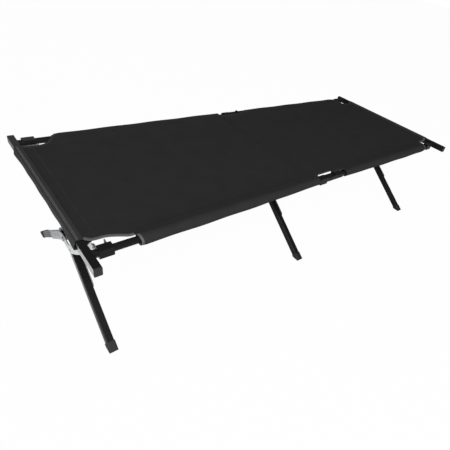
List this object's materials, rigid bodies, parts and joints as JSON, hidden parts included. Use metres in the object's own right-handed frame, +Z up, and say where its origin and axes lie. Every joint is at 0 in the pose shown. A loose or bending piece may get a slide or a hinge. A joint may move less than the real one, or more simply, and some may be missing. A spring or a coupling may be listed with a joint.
{
  "type": "camping cot",
  "caption": "Folding camp cot with scissor legs, two hinged side rails, end spreader bars and a taut fabric bed.",
  "frame": {"origin": "on the floor under the middle of the overall size; the bed's centre line is at y 0.0135, as the end bars stick out further on the near side", "axes": "+X towards the head end, +Y across the bed towards the far rail, +Z up"},
  "size_m": [1.9096, 0.7726, 0.447],
  "materials": {
    "black_paint_steel": "gloss black paint",
    "zinc_steel": "zinc plated",
    "grey_plastic": "moulded",
    "black_cloth": "plain woven"
  },
  "bodies": {
    "near_foot_frame": {"near_foot_rail": "black_paint_steel", "near_foot_rail_plug": "grey_plastic", "near_foot_hinge_leaf": "black_paint_steel", "near_foot_bracket": "black_paint_steel", "near_foot_swivel": "zinc_steel", "near_mid_bracket": "black_paint_steel", "near_mid_swivel": "zinc_steel", "near_foot_sleeve": "black_cloth", "bed_panel_foot": "black_cloth", "bed_hem_foot": "black_cloth"},
    "near_head_frame": {"near_head_rail": "black_paint_steel", "near_head_rail_plug": "grey_plastic", "near_head_hinge_leaf": "black_paint_steel", "near_head_bracket": "black_paint_steel", "near_head_swivel": "zinc_steel", "near_head_sleeve": "black_cloth", "bed_panel_head": "black_cloth", "bed_hem_head": "black_cloth"},
    "far_foot_frame": {"far_foot_rail": "black_paint_steel", "far_foot_rail_plug": "grey_plastic", "far_foot_hinge_leaf": "black_paint_steel", "far_foot_bracket": "black_paint_steel", "far_foot_swivel": "zinc_steel", "far_mid_bracket": "black_paint_steel", "far_mid_swivel": "zinc_steel", "far_foot_sleeve": "black_cloth"},
    "far_head_frame": {"far_head_rail": "black_paint_steel", "far_head_rail_plug": "grey_plastic", "far_head_hinge_leaf": "black_paint_steel", "far_head_bracket": "black_paint_steel", "far_head_swivel": "zinc_steel", "far_head_sleeve": "black_cloth"},
    "foot_leg_b": {"leg_b_foot_tube": "black_paint_steel", "leg_b_foot_plate": "zinc_steel", "leg_b_foot_foot": "grey_plastic", "leg_foot_centre_bolt": "zinc_steel"},
    "foot_leg_a": {"leg_a_foot_tube": "black_paint_steel", "leg_a_foot_plate": "zinc_steel", "leg_a_foot_foot": "grey_plastic"},
    "mid_leg_b": {"leg_b_mid_tube": "black_paint_steel", "leg_b_mid_plate": "zinc_steel", "leg_b_mid_foot": "grey_plastic", "leg_mid_centre_bolt": "zinc_steel"},
    "mid_leg_a": {"leg_a_mid_tube": "black_paint_steel", "leg_a_mid_plate": "zinc_steel", "leg_a_mid_foot": "grey_plastic"},
    "head_leg_b": {"leg_b_head_tube": "black_paint_steel", "leg_b_head_plate": "zinc_steel", "leg_b_head_foot": "grey_plastic", "leg_head_centre_bolt": "zinc_steel"},
    "head_leg_a": {"leg_a_head_tube": "black_paint_steel", "leg_a_head_plate": "zinc_steel", "leg_a_head_foot": "grey_plastic"},
    "foot_end_bar": {"foot_bar": "black_paint_steel", "near_foot_bar_cap": "grey_plastic", "far_foot_bar_cap": "grey_plastic"},
    "head_end_bar": {"head_bar": "black_paint_steel", "near_head_bar_cap": "grey_plastic", "far_head_bar_cap": "grey_plastic"}
  },
  "joints": [
    {"name": "rail_fold", "type": "hinge", "parent": "near_foot_frame", "child": "near_head_frame", "pos_m": [0.055, -0.3175, 0.4435], "axis": [0, -1, 0], "range_deg": [0, 175]},
    {"name": "leg_fold", "type": "hinge", "parent": "near_foot_frame", "child": "mid_leg_b", "pos_m": [-0.017, -0.282, 0.412], "axis": [-1, 0, 0], "range_deg": [0, 53], "deforming": ["bed_panel_foot", "bed_panel_head", "bed_hem_foot", "bed_hem_head"]},
    {"name": "mid_cross", "type": "hinge", "parent": "mid_leg_b", "child": "mid_leg_a", "pos_m": [-0.017, 0.0135, 0.227], "axis": [1, 0, 0], "range_deg": [0, 106]},
    {"name": "mid_far_pin", "type": "hinge", "parent": "mid_leg_a", "child": "far_foot_frame", "pos_m": [-0.017, 0.309, 0.412], "axis": [-1, 0, 0], "range_deg": [0, 53]},
    {"name": "far_rail_fold", "type": "hinge", "parent": "far_foot_frame", "child": "far_head_frame", "pos_m": [0.055, 0.3445, 0.4435], "axis": [0, -1, 0], "range_deg": [0, 175]},
    {"name": "foot_near_pin", "type": "hinge", "parent": "near_foot_frame", "child": "foot_leg_b", "pos_m": [-0.897, -0.282, 0.412], "axis": [-1, 0, 0], "range_deg": [0, 53]},
    {"name": "foot_cross", "type": "hinge", "parent": "foot_leg_b", "child": "foot_leg_a", "pos_m": [-0.897, 0.0135, 0.227], "axis": [1, 0, 0], "range_deg": [0, 106]},
    {"name": "head_near_pin", "type": "hinge", "parent": "near_head_frame", "child": "head_leg_b", "pos_m": [0.872, -0.282, 0.412], "axis": [-1, 0, 0], "range_deg": [0, 53]},
    {"name": "head_cross", "type": "hinge", "parent": "head_leg_b", "child": "head_leg_a", "pos_m": [0.872, 0.0135, 0.227], "axis": [1, 0, 0], "range_deg": [0, 106]},
    {"name": "foot_bar_swing", "type": "hinge", "parent": "near_foot_frame", "child": "foot_end_bar", "pos_m": [-0.942, -0.3175, 0.4285], "axis": [-1, 0, 0], "range_deg": [0, 90.5]},
    {"name": "head_bar_swing", "type": "hinge", "parent": "near_head_frame", "child": "head_end_bar", "pos_m": [0.942, -0.3175, 0.4285], "axis": [-1, 0, 0], "range_deg": [0, 90.5]}
  ],
  "couplings": [
    {"joint": "mid_cross", "follows": "leg_fold", "ratio": 2},
    {"joint": "mid_far_pin", "follows": "leg_fold", "ratio": 1},
    {"joint": "far_rail_fold", "follows": "rail_fold", "ratio": 1},
    {"joint": "foot_near_pin", "follows": "leg_fold", "ratio": 1},
    {"joint": "foot_cross", "follows": "leg_fold", "ratio": 2},
    {"joint": "head_near_pin", "follows": "leg_fold", "ratio": 1},
    {"joint": "head_cross", "follows": "leg_fold", "ratio": 2},
    {"joint": "foot_bar_swing", "follows": "leg_fold", "ratio": 1.6981},
    {"joint": "head_bar_swing", "follows": "leg_fold", "ratio": 1.6981}
  ]
}
